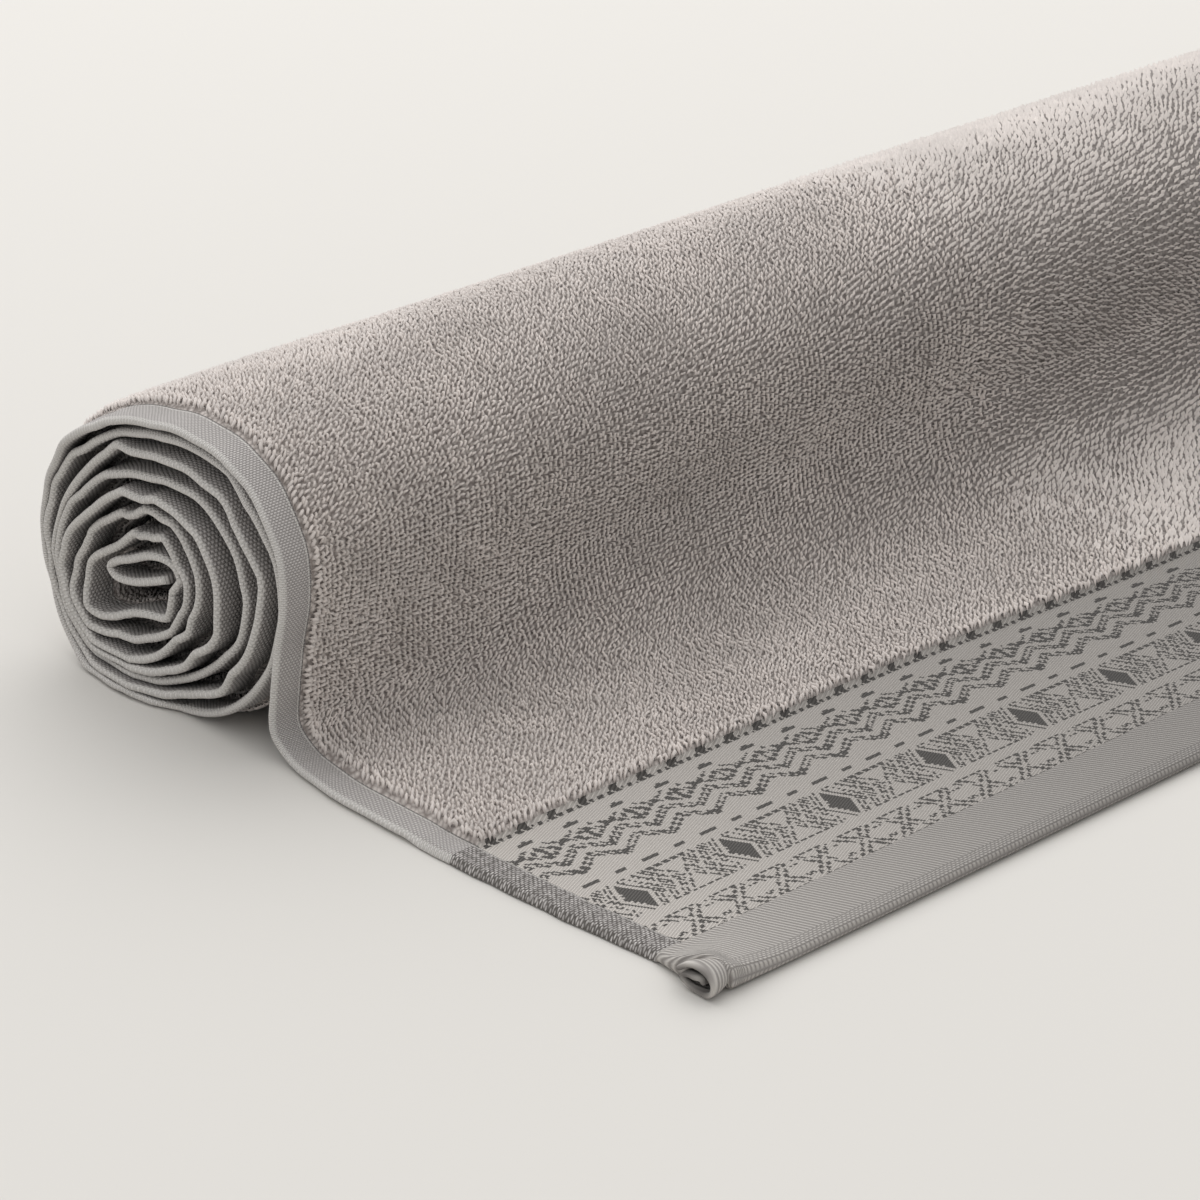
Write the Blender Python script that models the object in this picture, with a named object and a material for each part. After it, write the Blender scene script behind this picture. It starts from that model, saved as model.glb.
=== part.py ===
# A terry bath towel, rolled up from one end, with its other end lying flat in front of the roll.
# The towel is one sheet. Its cross-section is worked out as a winding line with a thickness on each side,
# and is lofted along the roll. Metres, +Z up, +X along the roll, the loose end towards -Y.

from collections import namedtuple

import bpy
import numpy as np

MM = 0.001

# Sizes of the towel, in millimetres
TOWEL_WIDTH = 700.0
SIDE_HEM_WIDTH = 7.3
HEM_TO_PILE = 1.2
PILE_HALF = 1.7
SIDE_HEM_HALF = 1.0
BORDER_THICKNESS = 1.7
END_HEM_THICKNESS = 3.0
CORNER_THICKNESS = 5.4
FIRST_END_HALF = 0.5
TURN_CLEARANCE = 0.25

# The loose end: how far each line across it lies from the roll's core at its near edge, how much further out
# it has drifted further along, and the share of its kind of thickness there
END_EDGE = 170.1
LooseRow = namedtuple("LooseRow", "reach drift near_edge kind share")
LOOSE_END = (
    LooseRow(END_EDGE, 0.0, 0.4, "fold", 0.45),
    LooseRow(END_EDGE - 0.9, 0.0, 0.2, "fold", 0.85),
    LooseRow(END_EDGE - 2.6, 0.0, 0.0, "fold", 1.0),
    LooseRow(END_EDGE - 9.6, 0.0, 0.4, "fold", 1.0),
    LooseRow(END_EDGE - 16.4, 0.0, 1.5, "hem", 1.0),
    LooseRow(END_EDGE - 18.2, 0.0, 1.7, "border", 1.0),
    LooseRow(END_EDGE - 46.0, 2.0, -0.6, "border", 1.0),
    LooseRow(END_EDGE - 74.4, 5.0, -1.8, "border", 1.0),
    LooseRow(END_EDGE - 76.6, 5.0, -1.9, "pile", 1.0),
)
DRIFT_STARTS, DRIFT_ENDS = 120.0, 240.0

# The foot, where the sheet rises from the floor into the roll: tight at the end of the roll, wide further in
FootRow = namedtuple("FootRow", "near_edge tight_reach tight_height wide_reach wide_height")
FOOT = (
    FootRow(-1.4, 58.0, 1.7, 68.0, 1.7),
    FootRow(0.2, 47.0, 1.7, 57.5, 2.9),
    FootRow(0.9, 40.6, 2.6, 51.0, 5.6),
    FootRow(1.1, 37.2, 5.4, 46.4, 9.0),
    FootRow(1.0, 36.4, 9.4, 43.4, 13.2),
    FootRow(0.7, 37.3, 14.4, 41.6, 17.8),
    FootRow(0.3, 38.9, 20.6, 40.6, 22.4),
)
FOOT_WIDENS_OVER = 95.0
# How far the foot's wall stands from the core, beside the second turn
WALL_RADIUS = 48.2

# The turns, outermost first: how far the sheet's middle lies from the core at every 30 degrees, from the
# side of the loose end upwards and round. The turn's edge stands in (+) or out (-): at the near end on the
# loose end's side and on the side away from it, and at the far end
CORE_REACH = -8.9
CORE_HEIGHT = 27.2
DIRECTION_STEP = 30.0
Turn = namedtuple(
    "Turn", "near_front near_back far_front d0 d30 d60 d90 d120 d150 d180 d210 d240 d270 d300 d330"
)
TURNS = (
    Turn(0.0, -2.4, 0.0, 49.1, 54.9, 45.0, 35.9, 32.5, 31.6, 32.8, 32.3, 30.0, 25.5, 29.6, 38.0),
    Turn(1.4, -1.2, -1.2, 46.6, 52.3, 42.2, 33.1, 29.1, 29.1, 30.9, 30.4, 28.0, 23.6, 26.8, 33.8),
    Turn(-0.8, -0.4, 0.6, 42.3, 43.7, 35.5, 29.6, 24.8, 25.0, 27.6, 28.6, 26.1, 21.7, 23.8, 29.3),
    Turn(0.6, -0.6, -1.0, 37.9, 38.8, 30.0, 24.1, 21.8, 22.7, 25.6, 26.8, 24.3, 19.8, 21.2, 24.3),
    Turn(-1.4, -1.0, 0.4, 28.8, 29.4, 23.7, 19.6, 17.4, 18.3, 23.3, 25.0, 22.5, 17.9, 17.8, 19.6),
    Turn(-0.4, 0.4, -0.8, 22.6, 23.5, 19.6, 13.9, 12.8, 14.5, 18.1, 22.2, 19.1, 14.9, 14.1, 15.7),
    Turn(0.4, 0.8, 0.8, 18.8, 18.3, 12.6, 8.3, 7.7, 9.1, 13.5, 19.4, 14.2, 9.9, 9.3, 12.4),
)
INNERMOST_RADIUS = 14.8
FLOOR_TURN_PITCH = 1.9
LAST_TURN_INNER_HALF = 1.0

# The first end of the sheet, folded flat inside the core
CoreRow = namedtuple("CoreRow", "reach height half")
CORE_FOLD = (
    CoreRow(6.6, 30.6, 1.0),
    CoreRow(5.0, 33.2, 1.0),
    CoreRow(1.4, 34.1, 1.1),
    CoreRow(-3.8, 33.0, 1.3),
    CoreRow(-10.1, 30.2, 1.3),
    CoreRow(-15.8, 27.8, 1.1),
    CoreRow(-18.2, 25.8, 1.0),
    CoreRow(-15.8, 24.1, 1.1),
    CoreRow(-10.1, 24.8, 1.3),
    CoreRow(-3.8, 27.0, 1.2),
    CoreRow(2.2, 29.4, 1.1),
)

# How finely the sheet is cut: degrees of winding, and steps between the fold's rows
WIND_STEP = 12.0
FOLD_STEPS = 2

# How far from the side edge the turns' own shifts have faded, and how the roll's top swells beside its hems
EDGE_SHIFT_FADES_OVER = 90.0
TOP_SWELL = 1.8
SWELLS_OVER = 14.0
SWELL_RADIUS = 36.0
# How far from the side edge the end hem's corner is fuller, from its folded-in layers
FULL_CORNER = 21.9

SHEET_COLOUR = (0.40, 0.385, 0.365, 1.0)
SHEET_ROUGHNESS = 0.95


def smooth_curve(values, places):
    """A Catmull-Rom curve through the values, read at fractional places."""
    values = np.asarray(values, float)
    last = len(values) - 1
    places = np.clip(places, 0.0, last)
    start = np.minimum(places.astype(int), last - 1)
    t = places - start
    before, here, there, after = (values[np.clip(start + k, 0, last)] for k in (-1, 0, 1, 2))
    if values.ndim > 1:
        t = t[:, None]
    return here + 0.5 * t * (
        there - before
        + t * (2 * before - 5 * here + 4 * there - after)
        + t * t * (3 * here - before - 3 * there + after)
    )


def ease(value):
    value = np.clip(value, 0.0, 1.0)
    return value * value * (3.0 - 2.0 * value)


WIND_RADII = [radius for turn in TURNS for radius in turn[3:]] + [INNERMOST_RADIUS]
WIND_END = DIRECTION_STEP * (len(WIND_RADII) - 1)


def wind_radius(wind):
    return smooth_curve(WIND_RADII, wind / DIRECTION_STEP)


def squareness(wind):
    """How squarely the sheet stands to a line from the core: 1 on a round turn, less where it climbs."""
    slope = (wind_radius(wind + 1.0) - wind_radius(wind - 1.0)) / np.radians(2.0)
    return wind_radius(wind) / np.hypot(wind_radius(wind), slope)


def room_outwards(wind):
    """Half of the way across to the next turn out, or to the wall above the foot, less the clearance."""
    next_radius = np.where(wind < 360.0, WALL_RADIUS, wind_radius(wind - 360.0))
    least_square = np.minimum(squareness(wind), squareness(wind - 360.0))
    room = 0.5 * (next_radius - wind_radius(wind)) * least_square - TURN_CLEARANCE
    return np.where(wind < 360.0 - DIRECTION_STEP, PILE_HALF, room)


def room_inwards(wind):
    return np.where(wind <= WIND_END - 360.0, room_outwards(wind + 360.0), LAST_TURN_INNER_HALF)


def from_side_edge(depth):
    return min(depth, TOWEL_WIDTH - depth)


def sheet_half(depth):
    """Half of the wound sheet's thickness at a depth: thin in the side hems, thick in the pile."""
    return PILE_HALF if from_side_edge(depth) > SIDE_HEM_WIDTH + HEM_TO_PILE / 2 else SIDE_HEM_HALF


# Each of the next four gives its rows of the sheet, in order along it: the reach and height of the middle,
# and the thickness to its outer and to its inner side.


def loose_end_rows(depth):
    """The flat end, lying on the floor."""
    corner = 1.0 - ease(from_side_edge(depth) / FULL_CORNER)
    fold = END_HEM_THICKNESS + (CORNER_THICKNESS - END_HEM_THICKNESS) * corner
    pile = 2 * sheet_half(depth)
    thickness = {"fold": fold, "hem": END_HEM_THICKNESS, "border": BORDER_THICKNESS, "pile": pile}
    half = np.array([0.5 * thickness[row.kind] * row.share for row in LOOSE_END])
    drift = ease((depth - DRIFT_STARTS) / (DRIFT_ENDS - DRIFT_STARTS))
    reach = np.array([row.reach + drift * row.drift for row in LOOSE_END])
    return np.array([reach, half, half, half])


def foot_rows(depth, half):
    """The foot between its tight and wide shapes, kept on the floor where the sheet is thinner."""
    widening = ease(depth / FOOT_WIDENS_OVER)
    rows = np.array(FOOT)
    tight, wide = rows[:, 1:3], rows[:, 3:]
    reach, height = (tight + (wide - tight) * widening).T
    up_the_wall = np.linspace(0.0, 1.0, len(FOOT))
    height = height - (PILE_HALF - half) * (1.0 - up_the_wall)
    inner = half + (min(half, room_inwards(np.array(0.0))) - half) * ease(2.0 * up_the_wall)
    return np.array([reach, height, np.full(len(FOOT), half), inner])


def turn_winds():
    return np.arange(0.0, WIND_END + 0.5 * WIND_STEP, WIND_STEP)


def turn_rows(depth, half):
    """The wound turns, each side as thick as the sheet is or as the turns leave room for."""
    wind = turn_winds()
    upwards = np.maximum(np.sin(np.radians(wind)), 0.0)
    swell = TOP_SWELL * ease(from_side_edge(depth) / SWELLS_OVER) * upwards
    radius = wind_radius(wind) * (1.0 + swell / SWELL_RADIUS)
    reach = CORE_REACH + radius * np.cos(np.radians(wind))
    height = CORE_HEIGHT + radius * np.sin(np.radians(wind))
    flat_spot = PILE_HALF + FLOOR_TURN_PITCH * np.floor(wind / 360.0)
    floor_room = np.where(height < flat_spot, 0.5 * FLOOR_TURN_PITCH - TURN_CLEARANCE, PILE_HALF)
    outer = np.minimum(half, room_outwards(wind))
    outer = np.where(wind < 360.0, outer, np.minimum(outer, floor_room))
    inner = np.minimum(np.minimum(half, room_inwards(wind)), floor_room)
    return np.array([reach, np.maximum(height, flat_spot), outer, inner])


def core_rows():
    """The first end's fold inside the core."""
    places = np.linspace(0, len(CORE_FOLD) - 1, FOLD_STEPS * (len(CORE_FOLD) - 1) + 1)
    reach, height, half = smooth_curve(np.array(CORE_FOLD), places).T
    half[-1] = FIRST_END_HALF
    return np.array([reach, height, half, half])


def edge_shifts():
    """How far the sheet's near and far side edges stand in (+) or out (-), all the way along the sheet."""
    turn_places = turn_winds() / 360.0
    loose = [row.near_edge for row in LOOSE_END + FOOT]
    core = np.ones(FOLD_STEPS * (len(CORE_FOLD) - 1) + 1)
    near = smooth_curve([edge for turn in TURNS for edge in turn[:2]], 2 * turn_places)
    far = smooth_curve([turn.far_front for turn in TURNS], turn_places)
    return (
        np.concatenate([loose, near, core * near[-1]]),
        np.concatenate([np.zeros(len(loose)), far, core * far[-1]]),
    )


def sheet_section(depth):
    """The sheet's outer and inner lines (reach, height) at one depth along the roll."""
    half = sheet_half(depth)
    parts = [loose_end_rows(depth), foot_rows(depth, half), turn_rows(depth, half), core_rows()]
    rows = np.concatenate(parts, axis=1)
    middle, outer, inner = rows[:2], rows[2], rows[3]
    tangent = np.gradient(middle, axis=1)
    tangent[:, : len(LOOSE_END)] = np.array([[-1.0], [0.0]])
    tangent /= np.hypot(*tangent)
    # Left of the way along the sheet is down and inwards, so the outer side is to the right of it.
    outwards = np.array([tangent[1], -tangent[0]])
    outer_line = middle + outwards * outer
    inner_line = middle - outwards * inner
    outer_line[1] = np.maximum(outer_line[1], 0.0)
    inner_line[1] = np.maximum(inner_line[1], 0.0)
    return outer_line, inner_line


def depths_along_roll():
    near = [0.0, SIDE_HEM_WIDTH, SIDE_HEM_WIDTH + HEM_TO_PILE]
    far = [TOWEL_WIDTH - depth for depth in reversed(near)]
    return near + [FOOT_WIDENS_OVER, TOWEL_WIDTH / 2] + far


def towel_points():
    """A ring of points for each depth: the outer line from the loose end inwards, and the inner one back."""
    rings = []
    near_shift, far_shift = edge_shifts()
    for depth in depths_along_roll():
        outer, inner = sheet_section(depth)
        near = near_shift * (1.0 - ease(depth / EDGE_SHIFT_FADES_OVER))
        far = far_shift * (1.0 - ease((TOWEL_WIDTH - depth) / EDGE_SHIFT_FADES_OVER))
        along = depth + near - far
        section = np.concatenate([outer, inner[:, ::-1]], axis=1)
        around = np.concatenate([along, along[::-1]])
        rings.append(np.stack([around, -section[0], section[1]], axis=1))
    points = np.array(rings) * MM
    low = points.min(axis=(0, 1))
    high = points.max(axis=(0, 1))
    return points - np.array([(low[0] + high[0]) / 2, (low[1] + high[1]) / 2, low[2]])


def loft(rings):
    """Faces between neighbouring rings, and a strip of faces over each end of the sheet's thickness."""
    ring_count, size, _ = rings.shape
    faces = []
    for ring in range(ring_count - 1):
        for here in range(size):
            there = (here + 1) % size
            base, step = ring * size, size
            faces.append((base + here, base + here + step, base + there + step, base + there))
    top = (ring_count - 1) * size
    for here in range(size // 2 - 1):
        across, across_next = size - 1 - here, size - 2 - here
        faces.append((here, here + 1, across_next, across))
        faces.append((top + across, top + across_next, top + here + 1, top + here))
    return faces


def principled(name, colour, roughness):
    material = bpy.data.materials.new(name)
    material.use_nodes = True
    shader = material.node_tree.nodes["Principled BSDF"]
    shader.inputs["Base Color"].default_value = colour
    shader.inputs["Roughness"].default_value = roughness
    shader.inputs["Metallic"].default_value = 0.0
    return material


def make_towel(collection):
    rings = towel_points()
    mesh = bpy.data.meshes.new("towel")
    mesh.from_pydata(rings.reshape(-1, 3).tolist(), [], loft(rings))
    mesh.materials.append(principled("terry cotton", SHEET_COLOUR, SHEET_ROUGHNESS))
    mesh.validate()
    towel = bpy.data.objects.new("towel", mesh)
    collection.objects.link(towel)
    return towel


for old in list(bpy.data.objects):
    bpy.data.objects.remove(old)
towel_collection = bpy.data.collections.new("rolled bath towel")
bpy.context.scene.collection.children.link(towel_collection)
make_towel(towel_collection)
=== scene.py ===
import math
from collections import namedtuple

import bpy
import numpy as np
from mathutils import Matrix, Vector


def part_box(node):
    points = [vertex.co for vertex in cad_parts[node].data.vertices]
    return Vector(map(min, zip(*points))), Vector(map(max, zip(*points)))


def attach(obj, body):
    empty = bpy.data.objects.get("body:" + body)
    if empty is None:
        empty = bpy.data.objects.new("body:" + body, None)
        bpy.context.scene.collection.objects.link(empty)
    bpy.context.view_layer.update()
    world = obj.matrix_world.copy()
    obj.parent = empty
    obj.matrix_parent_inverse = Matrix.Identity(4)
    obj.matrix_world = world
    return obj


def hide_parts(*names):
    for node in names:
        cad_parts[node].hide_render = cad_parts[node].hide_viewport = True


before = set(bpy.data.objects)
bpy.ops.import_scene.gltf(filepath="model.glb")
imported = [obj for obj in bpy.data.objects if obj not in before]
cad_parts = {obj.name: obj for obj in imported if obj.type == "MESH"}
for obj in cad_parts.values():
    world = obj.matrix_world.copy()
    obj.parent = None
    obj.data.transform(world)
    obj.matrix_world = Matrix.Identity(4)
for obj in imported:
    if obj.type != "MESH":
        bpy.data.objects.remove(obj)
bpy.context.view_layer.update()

rng = np.random.default_rng(21)
mm = 0.001

cameraView = {
    "stands": (-0.8177, -0.5799, 0.3958),
    "looksAt": (-0.3494, -0.0751, 0.0722),
    "lens": 123.44,
    "sensor": 36.0,
}


def makeCamera():
    # the photo's viewpoint
    data = bpy.data.cameras.new("camera")
    data.lens = cameraView["lens"]
    data.sensor_width = cameraView["sensor"]
    data.clip_start = 0.01
    camera = bpy.data.objects.new("camera", data)
    bpy.context.scene.collection.objects.link(camera)
    camera.location = cameraView["stands"]
    along = Vector(cameraView["looksAt"]) - Vector(cameraView["stands"])
    camera.rotation_euler = along.to_track_quat("-Z", "Y").to_euler()
    bpy.context.scene.camera = camera


makeCamera()
print("camera made")

# the cloth's path, with every distance in millimetres

cloth = {
    "width": 700.0,
    "sideHem": 7.3,
    "hemToPile": 1.2,
    "pileHalf": 1.7,
    "hemHalf": 1.0,
    "groundHalf": 1.2,         # the woven bed of the loops, on each side of the middle
    "endEdge": 170.1,          # how far the loose end's edge lies from the core
    "endHem": 18.2,
    "endHemThick": 2.9,
    "cornerThick": 5.4,
    "fullCorner": 21.9,
    "borderThick": 1.3,
    "loopsStart": 73.9,
    "driftAt": (0.0, 18.2, 46.0, 74.4),
    "drift": (0.0, 0.0, 2.0, 5.0),
    "driftStarts": 120.0,
    "driftEnds": 240.0,
    "nearEdgeAt": (0.0, 0.9, 2.6, 9.6, 16.4, 18.2, 46.0, 74.4, 76.6),
    "nearEdge": (0.4, 0.2, 0.0, 0.4, 1.5, 1.7, -0.6, -1.8, -1.9),
    "clearance": 0.08,
    "footWidensOver": 95.0,
    "coreReach": -8.9,
    "coreHeight": 27.2,
    "innermost": 14.8,
    "floorPitch": 1.9,
    "lastInnerHalf": 1.0,
    "shiftFades": 90.0,
    "topSwell": 1.8,
    "swellsOver": 14.0,
    "swellRadius": 36.0,
    "windStep": 3.0,
    "kinksFade": 48.0,         # how far in the creases of the roll's ends reach
    "farKinks": 0.7,
    "farTurned": 25.0,
    "leastPitch": 1.25,
    "hemPitch": 1.5,
    "floorInside": (4.0, 30.0),     # from the side edge, where the stack on the floor widens, and over
    "rimRound": 1.3,
    "groove": (7.0, 0.35, 0.35),    # the stitched groove's place, width and depth
    "groundOver": 0.7,
    "deepGround": (17.0, 10.0),     # from where the ground fills the cloth's thickness, and over
    "foldRound": 1.5,
    "endHemStep": (17.0, 1.2),      # where the end hem's thickness drops to the border's, and over
    "puff": 0.12,
    "pileStep": (73.0, 1.4),
}

# where the cloth rises from the floor: tight at the roll's end, wide further in
FootRow = namedtuple("FootRow", "nearEdge tightReach tightHeight wideReach wideHeight")
foot = (
    FootRow(-1.4, 58.0, 1.7, 68.0, 1.7),
    FootRow(0.2, 47.0, 1.7, 57.5, 2.9),
    FootRow(0.9, 40.6, 2.6, 51.0, 5.6),
    FootRow(1.1, 37.2, 5.4, 46.4, 9.0),
    FootRow(1.0, 36.4, 9.4, 43.4, 13.2),
    FootRow(0.7, 37.3, 14.4, 41.6, 17.8),
    FootRow(0.3, 38.9, 20.6, 40.6, 22.4),
)

# the middle's distance from the core at every 30 degrees of each turn, outermost first,
# and how far each turn's edge stands in (+) or out (-)
Turn = namedtuple(
    "Turn", "nearFront nearBack farFront d0 d30 d60 d90 d120 d150 d180 d210 d240 d270 d300 d330",
)
turns = (
    Turn(0.0, -2.4, 0.0, 49.1, 54.9, 45.0, 35.9, 32.5, 31.6, 32.8, 32.3, 30.0, 25.5, 29.6, 38.0),
    Turn(1.4, -1.2, -1.2, 46.6, 52.3, 42.2, 33.1, 29.1, 29.1, 30.9, 30.4, 28.0, 23.6, 26.8, 33.8),
    Turn(-0.8, -0.4, 0.6, 42.3, 43.7, 35.5, 29.6, 24.8, 25.0, 27.6, 28.6, 26.1, 21.7, 23.8, 29.3),
    Turn(0.6, -0.6, -1.0, 37.9, 38.8, 30.0, 24.1, 21.8, 22.7, 25.6, 26.8, 24.3, 19.8, 21.2, 24.3),
    Turn(-1.4, -1.0, 0.4, 28.8, 29.4, 23.7, 19.6, 17.4, 18.3, 23.3, 25.0, 22.5, 17.9, 17.8, 19.6),
    Turn(-0.4, 0.4, -0.8, 22.6, 23.5, 19.6, 13.9, 12.8, 14.5, 18.1, 22.2, 19.1, 14.9, 14.1, 15.7),
    Turn(0.4, 0.8, 0.8, 18.8, 18.3, 12.6, 8.3, 7.7, 9.1, 13.5, 19.4, 14.2, 9.9, 9.3, 12.4),
)
# creases of the near edge: degrees within each turn and millimetres outwards
kinks = (
    ((0, 0.0), (8, 1.1), (20, 1.2), (27, 0.2), (35, 0.3), (47, 1.4), (60, 0.6), (74, -0.6), (86, 0.2),
     (98, 0.1), (104, -0.5), (128, -0.2), (141, -1.0), (160, -1.6), (178, -2.5), (200, -2.6), (213, -1.7),
     (224, -0.6), (240, 0.0), (262, 0.4), (312, 0.9), (341, 0.6)),
    ((0, 0.9), (15, 1.1), (21, 0.3), (27, -0.6), (36, -0.8), (45, -0.1), (53, 0.2), (60, -0.3), (70, -0.8),
     (81, -0.8), (94, -0.1), (121, -0.4), (130, 0.4), (137, -0.1), (144, -0.5), (152, -0.3), (162, -1.4),
     (178, -1.8), (188, -2.6), (210, -1.2), (228, -0.2), (243, 0.3), (272, 1.0), (295, 0.5), (307, -0.4),
     (320, -0.7), (331, 0.6), (342, -1.4), (352, -0.9)),
    ((0, -0.1), (9, 0.8), (17, 2.5), (22, 1.5), (33, 0.6), (41, 2.2), (48, 1.3), (56, 1.2), (66, -0.1),
     (77, -1.1), (85, -0.9), (95, 1.0), (103, 0.0), (118, 0.1), (130, -0.3), (163, -1.2), (180, -1.0),
     (200, -0.2), (217, 0.4), (253, 0.8), (273, 1.4), (289, 1.2), (307, -0.1), (319, -0.7), (345, -1.5)),
    ((0, -0.6), (10, 0.1), (15, -0.4), (23, 0.0), (31, -0.4), (49, 0.7), (56, 0.0), (71, -1.1), (97, -0.6),
     (110, 0.0), (121, -0.2), (140, -0.8), (158, 0.4), (172, 0.1), (200, 0.6), (217, 1.2), (240, 1.7),
     (264, 1.9), (283, 1.4), (303, 0.3), (322, 0.5), (335, -0.3), (346, 1.6), (354, 2.3)),
    ((0, 2.0), (22, 2.2), (35, 2.1), (41, 1.1), (50, 1.5), (63, 0.7), (71, -1.0), (79, -0.7), (91, 0.2),
     (99, -0.3), (132, -0.8), (168, -0.6), (183, -1.0), (192, 0.4), (204, 1.8), (225, 2.1), (255, 2.4),
     (278, 1.7), (298, 0.4), (316, -0.8), (325, -1.3), (341, 0.1), (352, -0.7)),
    ((0, 0.1), (19, 1.4), (33, 0.4), (48, 1.2), (55, 0.1), (73, 0.6), (81, -0.3), (94, 0.0), (100, 0.8),
     (130, 0.0), (161, 0.1), (167, -0.5), (178, -0.4), (190, 1.5), (197, 1.5), (206, 2.3), (228, 2.8),
     (239, 1.4), (247, -0.1), (256, 0.3), (266, 0.9), (283, 0.3), (322, 0.3), (345, -1.1)),
    ((0, -0.7), (13, -0.3), (25, -1.8), (34, -0.9), (47, 1.2), (56, -0.6), (75, -0.2), (86, 1.2),
     (118, -0.3), (159, -1.4), (172, -1.3), (188, 1.0), (201, 0.3), (210, 1.3), (220, 3.0), (228, 2.6),
     (245, -0.7), (257, -1.0), (275, -0.3), (300, 0.2), (325, 0.5), (346, -1.3), (360, -2.0)),
)
# where that edge stands further in (+) or out (-), the same way
edgeKinks = (
    ((0, 0.0), (130, 0.0), (160, 1.0), (200, 1.2), (230, -0.6), (250, -2.4), (275, -3.8), (287, -3.0),
     (300, -0.4)),
    ((0, 0.0), (24, -0.8), (36, -1.4), (45, -0.2), (70, -0.9), (90, 0.0), (228, 0.0), (250, -1.8),
     (274, -2.8), (290, -1.2), (305, 0.0)),
    ((0, 0.0), (17, 0.8), (27, 0.0), (41, 0.5), (50, 0.0), (240, -0.6), (272, -1.8), (300, 0.0)),
    ((0, 0.0), (240, -0.4), (272, -0.9), (300, 0.0)),
    ((0, 0.0), (262, -0.4), (300, 0.0)),
    ((0, 0.0), (197, 0.0), (208, -1.1), (226, -1.4), (240, 0.0)),
    ((0, 0.0), (205, 0.0), (217, -1.2), (233, 0.0), (360, 0.0)),
)
CoreRow = namedtuple("CoreRow", "reach height half")
coreFold = (
    CoreRow(6.6, 30.6, 1.0),
    CoreRow(5.0, 33.2, 1.0),
    CoreRow(1.4, 34.1, 1.1),
    CoreRow(-3.8, 33.0, 1.3),
    CoreRow(-10.1, 30.2, 1.3),
    CoreRow(-15.8, 27.8, 1.1),
    CoreRow(-18.2, 25.8, 1.0),
    CoreRow(-15.8, 24.1, 1.1),
    CoreRow(-10.1, 24.8, 1.3),
    CoreRow(-3.8, 27.0, 1.2),
    CoreRow(2.2, 29.4, 1.1),
)

# rows across the loose end, their distances from its edge, and stations along the roll from each side edge
looseRows = np.array([
    0.0, 0.25, 0.6, 1.1, 1.8, 2.8, 4.2, 6.0, 8.0, 10.5, 13.0, 15.0, 16.4, 17.3, 18.0, 18.6, 20.0, 23.0, 27.0,
    32.0, 37.0, 42.0, 47.0, 52.0, 57.0, 62.0, 67.0, 71.0, 73.0, 74.4, 76.6, 79.0, 83.0,
])
stationsIn = np.array([
    0.0, 0.3, 0.8, 1.6, 2.8, 4.4, 5.8, 6.7, 7.2, 7.7, 8.6, 10.5, 13.5, 17.5, 23.0, 31.0, 42.0, 58.0, 85.0,
    130.0, 200.0, 275.0,
])


def smoothCurve(values, places):
    # a Catmull-Rom curve through the values, read at fractional places
    values = np.asarray(values, float)
    last = len(values) - 1
    places = np.clip(places, 0.0, last)
    start = np.minimum(places.astype(int), last - 1)
    t = places - start
    before, here, there, after = (values[np.clip(start + k, 0, last)] for k in (-1, 0, 1, 2))
    if values.ndim > 1:
        t = t[:, None]
    return here + 0.5 * t * (
        there - before
        + t * (2 * before - 5 * here + 4 * there - after)
        + t * t * (3 * here - before - 3 * there + after)
    )


def ease(value):
    # 0 to 1 with level ends: 3 v squared less 2 v cubed
    value = np.clip(value, 0.0, 1.0)
    return value * value * (3.0 - 2.0 * value)


windRadii = [radius for turn in turns for radius in turn[3:]] + [cloth["innermost"]]
windEnd = 30.0 * (len(windRadii) - 1)
winds = np.arange(0.0, windEnd + 0.5 * cloth["windStep"], cloth["windStep"])
footPlaces = np.arange(1.2, 8.99, 0.2)
corePlaces = np.linspace(0.0, len(coreFold) - 1, 41)
rowKinds = np.repeat([0, 1, 2, 3], [len(looseRows), len(footPlaces), len(winds), len(corePlaces)])
unwound = np.full(len(looseRows) + len(footPlaces), -1.0)
rowWinds = np.concatenate([unwound, winds, np.full(len(corePlaces), windEnd)])


def fromEdge(depth):
    # the distance to the nearer side edge
    return np.minimum(depth, cloth["width"] - depth)


def windRadius(wind):
    # the tables' spiral, read between its directions
    return smoothCurve(windRadii, wind / 30.0)


def perTurn(lists):
    # the winds and values of the turns' lists, one after another
    pairs = np.array([
        (360.0 * turn + angle, value) for turn, row in enumerate(lists) for angle, value in row
    ])
    return pairs[:, 0], pairs[:, 1]


def creased(lists, turned=0.0):
    # straight runs between the placed creases, read a few degrees on for the other end
    at, value = perTurn(lists)
    return np.interp(winds + turned, at, value)


nearKinks, nearEdgeKinks = creased(kinks), creased(edgeKinks)
farKinks = cloth["farKinks"] * creased(kinks, cloth["farTurned"]) * np.clip(winds / 30.0, 0.0, 1.0)
ringSize = int(round(360.0 / cloth["windStep"]))


def turnsAt(depth):
    # every turn's distance from the core at one depth: the tables' spiral times the soft swell between the
    # ends, plus the ends' creases, and never nearer to the turn outside it than the least pitch
    edge = fromEdge(depth)
    swell = cloth["topSwell"] * ease(edge / cloth["swellsOver"]) * np.maximum(np.sin(np.radians(winds)), 0.0)
    radius = windRadius(winds) * (1.0 + swell / cloth["swellRadius"])
    radius = radius + nearKinks * (1.0 - ease(depth / cloth["kinksFade"]))
    radius = radius + farKinks * (1.0 - ease((cloth["width"] - depth) / cloth["kinksFade"]))
    square = squareness(winds)
    for start in range(ringSize, len(winds), ringSize):
        end = min(start + ringSize, len(winds))
        outside = radius[start - ringSize:end - ringSize] - cloth["leastPitch"] / square[start:end]
        radius[start:end] = np.minimum(radius[start:end], outside)
    return radius


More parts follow.
